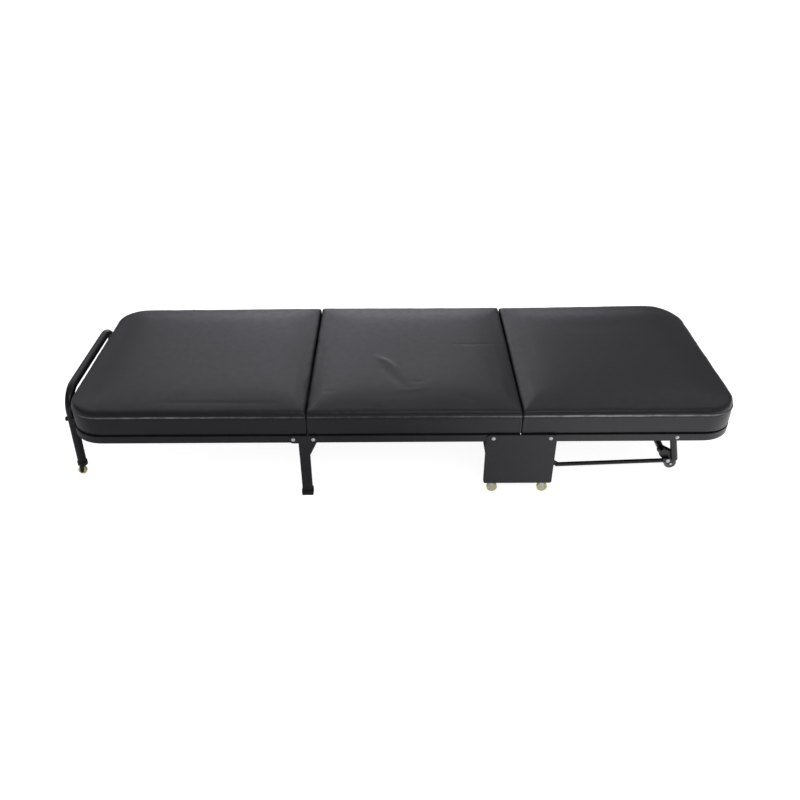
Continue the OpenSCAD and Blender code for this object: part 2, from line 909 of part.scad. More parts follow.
// Rubber boot on the leg's foot
module leg_foot() {
    color("#0c0c0c")
        difference() {
            translate([x_leg_mid, leg_d / 2 - plate_inner, 0])
                linear_extrude(foot_sole + foot_up)
                    rounded_2d(
                        -leg_w / 2 - foot_wall, leg_w / 2 + foot_wall, leg_d + 2 * foot_wall,
                        foot_wall, foot_wall
                    );
            translate([leg_x0, -plate_inner, foot_sole])
                cube([leg_w, leg_d, foot_up + over]);
        }
}

module leg_foot_front() {
    leg_foot();
}

module leg_foot_back() {
    on_side(true)
        leg_foot();
}

// Turns the upright loop about its bolts so that its feet lean out
module lean_loop() {
    translate([x_loop, 0, pivot_z])
        rotate([0, loop_lean, 0])
            children();
}

// Solid run of the loop's tube
module loop_run(r, extra) {
    for (side = [0, 1])
        mirror([0, side, 0]) {
            translate([0, loop_y, -loop_drop - extra])
                cylinder(r = r, h = loop_drop + extra + loop_rise - loop_bend_r);
            translate([0, loop_y - loop_bend_r, loop_rise - loop_bend_r])
                rotate([90, 0, 90])
                    rotate_extrude(angle = 90)
                        translate([loop_bend_r, 0])
                            circle(r = r);
        }
    translate([0, 0, loop_rise])
        bar_y(r, loop_bend_r - loop_y, loop_y - loop_bend_r);
}

module end_loop() {
    color("#0e0e0f")
        difference() {
            lean_loop()
                difference() {
                    loop_run(loop_r, 0);
                    loop_run(loop_r - loop_wall, over);
                }
            for (s = [-1, 1])
                translate([x_loop - 2 * loop_r, s * loop_y, pivot_z])
                    rotate([0, 90, 0])
                        cylinder(r = bolt_r + pin_gap, h = 4 * loop_r);
        }
}

// Saddles between the loop's legs and the end rail
module loop_pads() {
    color("#161617")
        difference() {
            for (s = [-1, 1])
                translate([x_loop, s * loop_y - pad_s / 2, pivot_z - rail_s / 2])
                    cube([loop_r + pad_t + rail_s / 2, pad_s, rail_s]);
            translate([x_head, 0, pivot_z])
                mirror([1, 0, 0])
                    frame_run(rail_s, rail_end_gap - head_over, head_l, [], bar_s);
            lean_loop()
                for (s = [-1, 1])
                    translate([0, s * loop_y, -pad_s])
                        cylinder(r = loop_r, h = 2 * pad_s);
            for (s = [-1, 1])
                translate([x_loop, s * loop_y, pivot_z])
                    rotate([0, 90, 0])
                        cylinder(r = bolt_r + pin_gap, h = 2 * loop_r + rail_s);
        }
}

nut_h = bolt_r * hex_h_share;
nut_r = bolt_r * hex_share;
// The nut sits on the inside of the bend, where its outer edge meets the rail
bend_inner_r = corner_r - rail_s;
nut_reach = max(0, loop_y + nut_r - (rail_face - corner_r));
nut_x = x_head_end + corner_r - sqrt(bend_inner_r * bend_inner_r - nut_reach * nut_reach);

// Hexagon bolts through the loop, the saddles and the end rail
module loop_bolts() {
    lean_gap = nut_r * sin(loop_lean);
    bolt_l = nut_x + nut_h + rim - x_loop + loop_r + lean_gap;
    color("#b9bbbd")
        for (s = [-1, 1])
            translate([x_loop - loop_r - lean_gap, s * loop_y, pivot_z])
                rotate([0, 90, 0]) {
                    translate([0, 0, -nut_h])
                        cylinder(r = nut_r, h = nut_h, $fn = 6);
                    cylinder(r = bolt_r, h = bolt_l);
                }
}

module loop_nuts() {
    color("#b9bbbd")
        for (s = [-1, 1])
            translate([nut_x, s * loop_y, pivot_z])
                rotate([0, 90, 0])
                    difference() {
                        cylinder(r = nut_r, h = nut_h, $fn = 6);
                        translate([0, 0, -over])
                            cylinder(r = bolt_r + pin_gap, h = nut_h + 2 * over);
                    }
}

// Plastic ends on the loop's legs, with a boss inside the tube that takes the caster's pin
module loop_ferrules() {
    boss_r = loop_r - loop_wall - pin_gap;
    color("#101011")
        for (s = [-1, 1])
            difference() {
                lean_loop()
                    translate([0, s * loop_y, -loop_drop])
                        difference() {
                            translate([0, 0, -ferrule_wall])
                                cylinder(r = loop_r + ferrule_wall, h = ferrule_wall + ferrule_up);
                            difference() {
                                cylinder(r = loop_r, h = ferrule_up + over);
                                cylinder(r = boss_r, h = ferrule_up);
                            }
                        }
                translate([x_loop_foot, s * loop_y, 0])
                    cylinder(r = caster_pin_r + pin_gap, h = pivot_z);
            }
}

arm_foot_z = 2 * wheel_r + arm_wheel_gap;

// Tube across the foot section that the wheel leg turns on
module wheel_leg_pivot_tube() {
    tube_end = rail_inner - side_gap;
    color("#19191a")
        translate([x_wheel_leg, 0, pivot_z])
            difference() {
                bar_y(arm_r, -tube_end, tube_end);
                bar_y(rivet_r + pin_gap, -tube_end - over, tube_end + over);
            }
}

// One splayed arm, coped to sit against the pivot tube
module wheel_leg_arm() {
    color("#19191a")
        difference() {
            translate([x_wheel_leg, -arm_y, 0])
                bar_xz(arm_r, arm_top_x, pivot_z, arm_foot_x, arm_foot_z);
            translate([x_wheel_leg, 0, pivot_z])
                bar_y(arm_r, -rail_inner, 0);
        }
}

module wheel_leg_arm_front() {
    wheel_leg_arm();
}

module wheel_leg_arm_back() {
    on_side(true)
        wheel_leg_arm();
}

// Lower tube between the two wheel brackets
module wheel_leg_cross_tube() {
    stay_end = bracket_outer - bracket_t;
    color("#19191a")
        translate([x_wheel_leg + stay_x, 0, stay_z])
            difference() {
                bar_y(arm_r, -stay_end, stay_end);
                bar_y(arm_r - rail_wall, -stay_end - over, stay_end + over);
            }
}

// Outline that takes in the cross tube, the arm's foot, the rod's pin and the wheel's axle
module bracket_2d() {
    hull() {
        translate([stay_x, stay_z])
            circle(r = arm_r + bracket_t, $fn = 32);
        translate([arm_foot_x - arm_r / 2, arm_foot_z + arm_r / 2])
            circle(r = arm_r, $fn = 32);
        translate([wheel_x, wheel_r])
            circle(r = axle_r + bracket_t, $fn = 32);
        translate([link_x, pivot_z - link_drop])
            circle(r = eye_r, $fn = 32);
    }
}

// Outer and inner bracket plates on either side of one wheel
module wheel_bracket() {
    color("#19191a")
        translate([x_wheel_leg, 0, 0])
            difference() {
                union() {
                    plate_xz(-bracket_outer, bracket_t - bracket_outer)
                        bracket_2d();
                    plate_xz(-bracket_inner, bracket_t - bracket_inner)
                        bracket_2d();
                }
                translate([0, -arm_y, 0])
                    bar_xz(arm_r, arm_top_x, pivot_z, arm_foot_x, arm_foot_z);
                translate([wheel_x, 0, wheel_r])
                    bar_y(axle_r + pin_gap, -bracket_outer - over, over + bracket_t - bracket_inner);
                translate([stay_x, 0, stay_z])
                    bar_y(arm_r, bracket_t - bracket_outer, over + bracket_t - bracket_inner);
                translate([link_x, 0, pivot_z - link_drop])
                    bar_y(rod_pin_r + pin_gap, -bracket_outer - over, bracket_t - bracket_outer + over);
            }
}

module wheel_bracket_front() {
    wheel_bracket();
}

module wheel_bracket_back() {
    on_side(true)
        wheel_bracket();
}

// Pivot bolts through the foot section's rails into the pivot tube
module wheel_leg_bolts() {
    reach = 2 * rail_s;
    dome_r = (rivet_head_r * rivet_head_r + rivet_head_h * rivet_head_h) / (2 * rivet_head_h);
    color("#d8dadb")
        on_both_sides()
            translate([x_wheel_leg, -rail_face - side_gap, pivot_z]) {
                intersection() {
                    translate([0, dome_r - rivet_head_h, 0])
                        sphere(r = dome_r);
                    bar_y(rivet_head_r, -rivet_head_h, 0);
                }
                bar_y(rivet_r, -rivet_head_h / 2, reach);
            }
}

// Axles with a cap outside each outer bracket
module wheel_axles() {
    color("#c9cbcd")
        on_both_sides()
            translate([x_wheel_leg + wheel_x, 0, wheel_r]) {
                bar_y(axle_r, -bracket_outer, bracket_t - bracket_inner);
                bar_y(axle_r + rim, bracket_t - bracket_inner, bracket_t - bracket_inner + rim);
            }
}

module leg_wheel() {
    color("#55565a")
        translate([x_wheel_leg + wheel_x, -wheel_y, wheel_r])
            wheel(wheel_r, wheel_w, axle_r + pin_gap);
}

module leg_wheel_front() {
    leg_wheel();
}

module leg_wheel_back() {
    on_side(true)
        leg_wheel();
}

box_plate_front();
box_plate_back();
box_cross_tubes();
link_lugs();
link_lug_pins();
box_rivets();
caster_plates();
box_caster_fork(0);  // box_caster_fork_1
box_caster_fork(1);  // box_caster_fork_2
box_caster_fork(2);  // box_caster_fork_3
box_caster_fork(3);  // box_caster_fork_4
box_caster_wheel(0);  // box_caster_wheel_1
box_caster_wheel(1);  // box_caster_wheel_2
box_caster_wheel(2);  // box_caster_wheel_3
box_caster_wheel(3);  // box_caster_wheel_4
middle_frame();
middle_board();
middle_cushion();
board_screws(middle_screw_places);  // middle_board_screws
leg_tube_front();
leg_tube_back();
leg_plate_front();
leg_plate_back();
leg_cross_tube();
leg_foot_front();
leg_foot_back();
leg_rivets();
head_frame();
head_board();
head_cushion();
board_screws(head_screw_places);  // head_board_screws
end_loop();
loop_pads();
loop_bolts();
loop_nuts();
loop_ferrules();
loop_caster_fork(0);  // loop_caster_fork_1
loop_caster_fork(1);  // loop_caster_fork_2
loop_caster_wheel(0);  // loop_caster_wheel_1
loop_caster_wheel(1);  // loop_caster_wheel_2
foot_frame();
foot_board();
foot_cushion();
board_screws(foot_screw_places);  // foot_board_screws
wheel_leg_pivot_tube();
wheel_leg_arm_front();
wheel_leg_arm_back();
wheel_leg_cross_tube();
wheel_bracket_front();
wheel_bracket_back();
wheel_leg_bolts();
wheel_axles();
link_end_pins();
leg_wheel_front();
leg_wheel_back();
link_rod_front();
link_rod_back();
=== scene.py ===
import json
import math

import bmesh
import bpy
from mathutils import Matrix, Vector, noise
from mathutils.bvhtree import BVHTree


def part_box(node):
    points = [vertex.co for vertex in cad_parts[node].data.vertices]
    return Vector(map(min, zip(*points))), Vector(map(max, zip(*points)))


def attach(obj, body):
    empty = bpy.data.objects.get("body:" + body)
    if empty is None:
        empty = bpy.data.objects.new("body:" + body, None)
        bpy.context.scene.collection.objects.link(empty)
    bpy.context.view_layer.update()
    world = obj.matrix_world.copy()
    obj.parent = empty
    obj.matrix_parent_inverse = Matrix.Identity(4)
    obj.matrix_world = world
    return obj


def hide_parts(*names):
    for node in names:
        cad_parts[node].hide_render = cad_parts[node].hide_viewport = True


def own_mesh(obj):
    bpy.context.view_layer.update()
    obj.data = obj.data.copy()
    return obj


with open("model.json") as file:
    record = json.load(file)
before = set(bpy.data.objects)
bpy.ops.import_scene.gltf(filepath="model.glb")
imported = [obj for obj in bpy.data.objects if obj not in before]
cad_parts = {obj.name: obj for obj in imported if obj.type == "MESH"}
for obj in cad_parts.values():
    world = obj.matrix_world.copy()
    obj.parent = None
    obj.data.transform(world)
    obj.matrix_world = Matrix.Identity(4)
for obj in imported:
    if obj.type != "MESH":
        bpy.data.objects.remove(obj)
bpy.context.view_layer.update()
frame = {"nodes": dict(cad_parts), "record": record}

scene = bpy.context.scene
mm = 0.001


# Camera at the photograph's angle
camera = {"focal": 34.875, "place": (-0.0024, -2.058, 1.473), "pitch": 33.24, "yaw": -0.5}

cameraData = bpy.data.cameras.new("photoCamera")
cameraData.lens = camera["focal"]
cameraData.sensor_width = 36.0
cameraObject = bpy.data.objects.new("photoCamera", cameraData)
cameraObject.location = camera["place"]
cameraObject.rotation_euler = (math.radians(90 - camera["pitch"]), 0, math.radians(camera["yaw"]))
scene.collection.objects.link(cameraObject)
scene.camera = cameraObject
scene.view_settings.view_transform = "Standard"
print("camera ready")


# Shader values are given by the socket's name, with _ for a space
def newMaterial(name, **values):
    material = bpy.data.materials.new(name)
    material.use_nodes = True
    shader = material.node_tree.nodes["Principled BSDF"]
    for socket, value in values.items():
        shader.inputs[socket.replace("_", " ")].default_value = value
    return material


# Each link is a socket with its value, or with the output that feeds it
def addNode(tree, kind, links=(), **values):
    node = tree.nodes.new(kind)
    for name, value in values.items():
        setattr(node, name, value)
    for socket, source in links:
        if hasattr(source, "node"):
            tree.links.new(source, node.inputs[socket])
        else:
            node.inputs[socket].default_value = source
    return node


def objectPoint(tree, scale=(1, 1, 1), turn=(0, 0, 0)):
    coords = addNode(tree, "ShaderNodeTexCoord")
    mapping = addNode(tree, "ShaderNodeMapping", [("Vector", coords.outputs["Object"])])
    mapping.inputs["Scale"].default_value = scale
    mapping.inputs["Rotation"].default_value = turn
    return mapping.outputs["Vector"]


# A noise is given as its scale per metre, its detail and its roughness
def noiseAt(tree, point, pattern):
    scale, detail, roughness = pattern
    return addNode(tree, "ShaderNodeTexNoise", [
        ("Vector", point), ("Scale", scale), ("Detail", detail), ("Roughness", roughness),
    ])


def remap(tree, source, low, high, fromLow=0.0, fromHigh=1.0):
    return addNode(tree, "ShaderNodeMapRange", [
        ("Value", source), ("From Min", fromLow), ("From Max", fromHigh), ("To Min", low), ("To Max", high),
    ]).outputs["Result"]


def mixColours(tree, share, first, second):
    node = tree.nodes.new("ShaderNodeMix")
    node.data_type = "RGBA"
    tree.links.new(share, node.inputs["Factor"])
    node.inputs[6].default_value = (*first, 1)  # the node's colours are its sockets 6 and 7, and its output 2
    node.inputs[7].default_value = (*second, 1)
    return node.outputs[2]


def mixValues(tree, share, first, second):
    return addNode(tree, "ShaderNodeMix", [(0, share), (2, first), (3, second)]).outputs[0]


# A bump is given as its strength and its height in mm
def addBump(tree, source, bump, under=None):
    strength, height = bump
    links = [("Height", source), ("Strength", strength), ("Distance", height * mm)]
    if under is not None:
        links.append(("Normal", under))
    return addNode(tree, "ShaderNodeBump", links).outputs["Normal"]


def intoShader(material, socket, source):
    tree = material.node_tree
    tree.links.new(source, tree.nodes["Principled BSDF"].inputs[socket])


# Black leatherette of the cushions
leatherette = {
    "dark": (0.010, 0.010, 0.011), "pale": (0.020, 0.020, 0.022), "patches": (5.0, 4.0, 0.5),
    "roughLevels": (0.29, 0.40), "handling": (46.0, 5.0, 0.62), "handlingRange": (0.3, 0.7),
    "wobbleNoise": (140.0, 2.0, 0.5), "wobble": 0.0015,
    "grainScale": 620.0, "grainTop": 0.35, "grainBump": (0.20, 0.25),
    "pores": (1500.0, 2.0, 0.5), "poreBump": (0.08, 0.12),
    "wrinkles": (16.0, 6.0, 0.6), "wrinkleBump": (0.07, 2.0),
}


def makeLeatherette(name, spec):
    material = newMaterial(name)
    tree = material.node_tree
    point = objectPoint(tree)
    patches = noiseAt(tree, point, spec["patches"]).outputs["Fac"]
    handling = noiseAt(tree, point, spec["handling"]).outputs["Fac"]
    intoShader(material, "Base Color", mixColours(tree, patches, spec["dark"], spec["pale"]))
    handled = remap(tree, handling, *spec["roughLevels"], *spec["handlingRange"])
    intoShader(material, "Roughness", handled)
    wobble = noiseAt(tree, point, spec["wobbleNoise"])
    bent = addNode(tree, "ShaderNodeVectorMath", [
        (0, wobble.outputs["Color"]), (1, (spec["wobble"],) * 3), (2, point),
    ], operation="MULTIPLY_ADD")
    cells = addNode(tree, "ShaderNodeTexVoronoi", [
        ("Vector", bent.outputs["Vector"]), ("Scale", spec["grainScale"]),
    ], feature="DISTANCE_TO_EDGE")
    pores = noiseAt(tree, point, spec["pores"]).outputs["Fac"]
    wrinkles = noiseAt(tree, point, spec["wrinkles"]).outputs["Fac"]
    soft = addBump(tree, wrinkles, spec["wrinkleBump"])
    ridges = remap(tree, cells.outputs["Distance"], 0.0, 1.0, 0.0, spec["grainTop"])
    grain = addBump(tree, ridges, spec["grainBump"], soft)
    intoShader(material, "Normal", addBump(tree, pores, spec["poreBump"], grain))
    return material


# The welt's leatherette with a painted highlight: pale along the crest where the attribute says so
weltFinish = dict(leatherette, roughLevels=(0.22, 0.32), paintedHighlight=(30.0, 4.0, 0.5), highlightRange=(0.3, 0.7),
                  highlightLevels=(0.55, 1.45), paleHighlight=(1.0, 0.98, 1.0))


def makeHighlightedWelt(name, spec):
    material = makeLeatherette(name, spec)
    tree = material.node_tree
    highlightShare = addNode(tree, "ShaderNodeAttribute", attribute_name="highlightShare").outputs["Fac"]
    patches = noiseAt(tree, objectPoint(tree), spec["paintedHighlight"]).outputs["Fac"]
    uneven = remap(tree, patches, *spec["highlightLevels"], *spec["highlightRange"])
    # Painted highlight: this share mixes the black leatherette towards near white
    share = addNode(tree, "ShaderNodeMath", [(0, highlightShare), (1, uneven)], operation="MULTIPLY")
    intoShader(material, "Base Color", mixColours(tree, share.outputs[0], spec["dark"], spec["paleHighlight"]))
    return material


highlightedWelt = makeHighlightedWelt("highlightedWelt", weltFinish)


# Painted metal, with a faint orange peel and a little dust
paint = {
    "dust": (22.0, 6.0, 0.65), "dustRange": (0.42, 0.75), "paler": 1.6, "dustLevel": 0.002,
    "roughSpread": 0.12, "roughRange": (0.35, 0.7), "peelNoise": (420.0, 2.0, 0.5), "peelHeight": 0.12,
    "streaks": (60.0, 3.0, 0.5), "streakBump": (0.05, 0.4),
}


def makePaint(name, colour, rough, peel, spec=paint):
    material = newMaterial(name)
    tree = material.node_tree
    point = objectPoint(tree)
    dust = noiseAt(tree, point, spec["dust"]).outputs["Fac"]
    pale = tuple(c * spec["paler"] + spec["dustLevel"] for c in colour)
    dusted = remap(tree, dust, 0, 1, *spec["dustRange"])
    intoShader(material, "Base Color", mixColours(tree, dusted, colour, pale))
    roughened = remap(tree, dust, rough, rough + spec["roughSpread"], *spec["roughRange"])
    intoShader(material, "Roughness", roughened)
    peelNoise = noiseAt(tree, point, spec["peelNoise"]).outputs["Fac"]
    streaks = noiseAt(tree, point, spec["streaks"]).outputs["Fac"]
    uneven = addBump(tree, streaks, spec["streakBump"])
    intoShader(material, "Normal", addBump(tree, peelNoise, (peel, spec["peelHeight"]), uneven))
    return material


# Zinc plate, bright or dull
zinc = {
    "spots": (90.0, 4.0, 0.6), "duller": 0.72, "roughSpread": 0.18, "roughRange": (0.3, 0.7),
    "grain": (800.0, 2.0, 0.5), "grainBump": (0.12, 0.06),
}


def makeZinc(name, colour, rough, brushed, metallic, spec=zinc):
    material = newMaterial(name, Metallic=metallic)
    tree = material.node_tree
    point = objectPoint(tree, (1, 1, brushed))
    spots = noiseAt(tree, point, spec["spots"]).outputs["Fac"]
    dull = tuple(c * spec["duller"] for c in colour)
    intoShader(material, "Base Color", mixColours(tree, spots, dull, colour))
    roughened = remap(tree, spots, rough, rough + spec["roughSpread"], *spec["roughRange"])
    intoShader(material, "Roughness", roughened)
    grain = noiseAt(tree, point, spec["grain"]).outputs["Fac"]
    intoShader(material, "Normal", addBump(tree, grain, spec["grainBump"]))
    return material


# Moulded plastic and rubber
moulded = {
    "cloud": (60.0, 4.0, 0.5), "roughSpread": 0.14, "roughRange": (0.3, 0.7),
    "grain": (900.0, 2.0, 0.5), "grainBump": (0.10, 0.08),
}


def makePlastic(name, colour, rough, mottle, spec=moulded, **values):
    material = newMaterial(name, **values)
    tree = material.node_tree
    point = objectPoint(tree)
    cloud = noiseAt(tree, point, spec["cloud"]).outputs["Fac"]
    pale = tuple(min(1.0, c * (1 + mottle)) for c in colour)
    intoShader(material, "Base Color", mixColours(tree, cloud, colour, pale))
    roughened = remap(tree, cloud, rough, rough + spec["roughSpread"], *spec["roughRange"])
    intoShader(material, "Roughness", roughened)
    grain = noiseAt(tree, point, spec["grain"]).outputs["Fac"]
    intoShader(material, "Normal", addBump(tree, grain, spec["grainBump"]))
    return material


# Black non-woven cloth stapled over the boards
underCloth = {
    "dark": (0.010, 0.010, 0.010), "pale": (0.030, 0.030, 0.031), "rough": 0.85, "fibres": (260.0, 5.0, 0.7),
    "fibreStretch": (1, 4, 1), "fibreTurn": (0, 0, 0.6), "fibreBump": (0.25, 0.2),
    "dotScale": 420.0, "dotRandomness": 0.25, "dotBump": (0.35, 0.3),
}


def makeUnderCloth(name, spec):
    material = newMaterial(name, Roughness=spec["rough"])
    tree = material.node_tree
    stretched = objectPoint(tree, spec["fibreStretch"], spec["fibreTurn"])
    fibres = noiseAt(tree, stretched, spec["fibres"]).outputs["Fac"]
    dots = addNode(tree, "ShaderNodeTexVoronoi", [
        ("Vector", objectPoint(tree)), ("Scale", spec["dotScale"]), ("Randomness", spec["dotRandomness"]),
    ])
    intoShader(material, "Base Color", mixColours(tree, fibres, spec["dark"], spec["pale"]))
    pressed = addBump(tree, dots.outputs["Distance"], spec["dotBump"])
    intoShader(material, "Normal", addBump(tree, fibres, spec["fibreBump"], pressed))
    return material


finishes = {
    "leatherette": makeLeatherette("blackLeatherette", leatherette),
    "frame_paint": makePaint("satinBlackPaint", (0.012, 0.012, 0.013), rough=0.34, peel=0.14),
    "sheet_paint": makePaint("satinBlackSheet", (0.016, 0.016, 0.018), rough=0.40, peel=0.16),
    "tube_paint": makePaint("semiGlossTube", (0.012, 0.012, 0.013), rough=0.30, peel=0.12),
    "loop_paint": makePaint("glossBlackTube", (0.006, 0.006, 0.007), rough=0.16, peel=0.08),
    "rod_paint": makePaint("glossBlackRod", (0.006, 0.006, 0.007), rough=0.22, peel=0.08),
    "rivet_zinc": makeZinc("brightZinc", (0.99, 0.99, 1.0), rough=0.30, brushed=1.0, metallic=0.25),
    "fork_zinc": makeZinc("dullZinc", (0.84, 0.84, 0.90), rough=0.34, brushed=6.0, metallic=0.45),
    "bolt_zinc": makeZinc("boltZinc", (0.76, 0.77, 0.79), rough=0.28, brushed=1.0, metallic=0.8),
    "caster_amber": makePlastic("amberNylon", (0.86, 0.82, 0.34), rough=0.26, mottle=0.12,
                                Subsurface_Weight=0.5, Subsurface_Radius=(0.004, 0.003, 0.001),
                                Subsurface_Scale=1.0),
    "wheel_grey": makePlastic("smokyPlastic", (0.09, 0.09, 0.095), rough=0.24, mottle=0.9,
                              Coat_Weight=0.8, Coat_Roughness=0.08),
    "foot_rubber": makePlastic("blackRubber", (0.009, 0.009, 0.009), rough=0.62, mottle=0.6),
    "black_plastic": makePlastic("blackPlastic", (0.010, 0.010, 0.011), rough=0.38, mottle=0.4),
    "board_ply": makeUnderCloth("blackUnderCloth", underCloth),
}
slotOf = {part["node"]: part["material_slot"] for part in frame["record"]["subparts"]}
for name, node in frame["nodes"].items():
    node.data.materials.clear()
    node.data.materials.append(finishes[slotOf[name]])
print("materials ready", len(finishes))


# Gives a piece its finish and smooth shading, and ties it to its body
def finishPiece(piece, body, slotName):
    piece.data.materials.clear()
    piece.data.materials.append(finishes[slotName])
    piece.data.polygons.foreach_set("use_smooth", [True] * len(piece.data.polygons))
    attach(piece, body)


def addPiece(name, mesh, body, slotName):
    piece = bpy.data.objects.new(name, mesh)
    scene.collection.objects.link(piece)
    finishPiece(piece, body, slotName)
    return piece


def applyModifiers(piece):
    graph = bpy.context.evaluated_depsgraph_get()
    baked = bpy.data.meshes.new_from_object(piece.evaluated_get(graph))
    piece.modifiers.clear()
    piece.data = baked


# A CAD node's copy with its sharp edges rounded, standing for the node: weld in mm, angles in degrees
rounding = {"weld": 0.002, "flatAngle": 1.0, "sharpAngle": 32.0, "segments": 3}


def roundEdges(nodeName, width, spec):
    bm = bmesh.new()
    bm.from_mesh(frame["nodes"][nodeName].data)
    bmesh.ops.remove_doubles(bm, verts=bm.verts, dist=spec["weld"] * mm)
    bmesh.ops.dissolve_limit(bm, angle_limit=math.radians(spec["flatAngle"]), verts=bm.verts,
                             edges=bm.edges, delimit=set())
    sharpAngle = math.radians(spec["sharpAngle"])
    sharp = [e for e in bm.edges if len(e.link_faces) == 2 and e.calc_face_angle(0) > sharpAngle]
    bmesh.ops.bevel(bm, geom=sharp, offset=width, offset_type="OFFSET", segments=spec["segments"],
                    profile=0.5, affect="EDGES", clamp_overlap=True, material=-1)
    mesh = bpy.data.meshes.new(nodeName + "Rounded")
    bm.to_mesh(mesh)
    bm.free()
    piece = addPiece(nodeName + "_rounded", mesh, bodyOf[nodeName], slotOf[nodeName])
    piece.modifiers.new("facets", "WEIGHTED_NORMAL").keep_sharp = False
    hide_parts(nodeName)


bodyOf = {}
for body, members in frame["record"]["behaviour"]["bodies"].items():
    for member in members:
        bodyOf[member] = body

# Widths of the rounding in mm
roundedNodes = {
    "head_frame": 1.4, "middle_frame": 1.4, "foot_frame": 1.4,
    "box_plate_front": 0.8, "box_plate_back": 0.8,
    "leg_plate_front": 0.7, "leg_plate_back": 0.7,
    "leg_tube_front": 2.0, "leg_tube_back": 2.0,
    "leg_foot_front": 1.6, "leg_foot_back": 1.6,
    "wheel_bracket_front": 0.4, "wheel_bracket_back": 0.4,
    "link_lugs": 0.5, "caster_plates": 0.4,
}
for nodeName, width in roundedNodes.items():
    roundEdges(nodeName, width * mm, rounding)
print("rounded metal ready", len(roundedNodes))


# Cushions: foam blocks in leatherette, with a top panel sewn to a side band all the way round. All in mm.
cushions = {
    "corner": 4.0, "leastCorner": 0.5, "cornerShare": 0.98, "cornerGrowth": 0.7, "pointsPerCorner": 14,
    "wrap": 4.0, "bottomIn": 1.6, "bottomRim": 6, "bottomEdge": 1.2, "seam": 54.9, "sideIn": 0.6,
    "bandBulge": 0.7, "bandRings": 8, "voxel": 5.0,
    "rise": 22.6, "shoulder": 9.5, "fullness": 1.9, "crown": 6.5, "crownReach": 120.0,
    "seamRoll": 6.0, "seamReach": 110.0, "seamCrown": 0.35, "nearLow": 0.32, "nearReach": 85.0,
    "topInsets": (0.15, 0.5, 1, 1.8, 2.8, 4, 5.5, 7.3, 9.5, 13, 18, 26, 38, 54, 74, 98, 125, 160, 200, 245),
}
# Each cushion's body, the end that is rounded and the offset of its waves
cushionEnds = {
    "head_cushion": ("head_section", "low", 3.0),
    "middle_cushion": ("middle_section", "none", 17.0),
    "foot_cushion": ("foot_section", "high", 31.0),
}
# Radius of an end's rounded corners in mm, at the near side and the far side
endCorners = {"low": (95.0, 86.0), "high": (88.0, 101.0)}
# How many mm plumper each cushion stands along its far side, at its head end and its foot end
farRise = {"head_cushion": (2.0, 6.2), "middle_cushion": (6.6, 7.2), "foot_cushion": (5.6, 14.5)}


# Points round a rectangle with rounded corners, a millimetre figure inside the cushion's box
def outlineRing(low, high, ends, inset, spec):
    halfX = (high.x - low.x) / 2 / mm - inset
    halfY = (high.y - low.y) / 2 / mm - inset
    middleX = (low.x + high.x) / 2 / mm
    steps = spec["pointsPerCorner"]
    points = []
    for signX, signY, start in ((1, 1, 0), (-1, 1, 90), (-1, -1, 180), (1, -1, 270)):
        end = "high" if signX > 0 else "low"
        radius = endCorners[end][signY > 0] if end == ends else spec["corner"]
        radius = max(radius - inset, spec["leastCorner"]) + spec["cornerGrowth"] * max(inset, 0)
        radius = min(radius, halfX * spec["cornerShare"], halfY * spec["cornerShare"])
        for i in range(steps + 1):
            angle = math.radians(start + 90 * i / steps)
            points.append((middleX + signX * (halfX - radius) + radius * math.cos(angle),
                           signY * (halfY - radius) + radius * math.sin(angle)))
    return points


# Millimetres from a place on the cushion in to its nearest free side, and to its nearest side beside a hinge
def insetsAt(x, y, low, high, ends):
    dy = (high.y - low.y) / 2 / mm - abs(y) / mm
    toLow, toHigh = (x - low.x) / mm, (high.x - x) / mm
    if ends == "none":
        return dy, min(toLow, toHigh)
    freeEnd, beside = (toLow, toHigh) if ends == "low" else (toHigh, toLow)
    radius = endCorners[ends][y > 0]
    if freeEnd < radius and dy < radius:
        return radius - math.hypot(radius - freeEnd, radius - dy), beside
    return min(freeEnd, dy), beside


def roundOff(inset, depth, fullness):
    share = min(1.0, max(0.0, inset / depth))
    return (1 - (1 - share) ** fullness) ** (1 / fullness)


def easeIn(inset, reach):
    return math.sin(math.pi / 2 * min(1.0, max(0.0, inset / reach)))


def topHeight(free, beside, fromNear, spec):
    overFree = roundOff(free, spec["shoulder"], spec["fullness"])
    overSeam = 1 - spec["seamRoll"] / spec["rise"] * (1 - roundOff(beside, spec["seamRoll"], 2.0))
    rise = spec["rise"] * (1 - spec["nearLow"] * (1 - easeIn(fromNear, spec["nearReach"])))
    nearSeam = spec["seamCrown"] + (1 - spec["seamCrown"]) * easeIn(beside, spec["seamReach"])
    crown = spec["crown"] * easeIn(free, spec["crownReach"]) * nearSeam
    return spec["seam"] + rise * min(overFree, overSeam) + crown


def cushionRings(low, high, ends, spec):
    drop, count = spec["wrap"], spec["bandRings"]
    heights = [(spec["bottomIn"] + spec["bottomRim"], -drop), (spec["bottomIn"], -drop),
               (spec["sideIn"] + spec["bottomEdge"] / 3, spec["bottomEdge"] - drop)]
    for k in range(1, count):
        bulge = spec["bandBulge"] * math.sin(math.pi * k / count)
        heights.append((spec["sideIn"] - bulge, spec["seam"] * k / count))
    heights.append((spec["sideIn"], spec["seam"]))
    rings = [[(x, y, height) for x, y in outlineRing(low, high, ends, inset, spec)]
             for inset, height in heights]
    for inset in spec["topInsets"]:
        ring = []
        for x, y in outlineRing(low, high, ends, spec["sideIn"] + inset, spec):
            free, beside = (far - spec["sideIn"] for far in insetsAt(x * mm, y * mm, low, high, ends))
            ring.append((x, y, topHeight(free, beside, y - low.y / mm, spec)))
        rings.append(ring)
    return rings


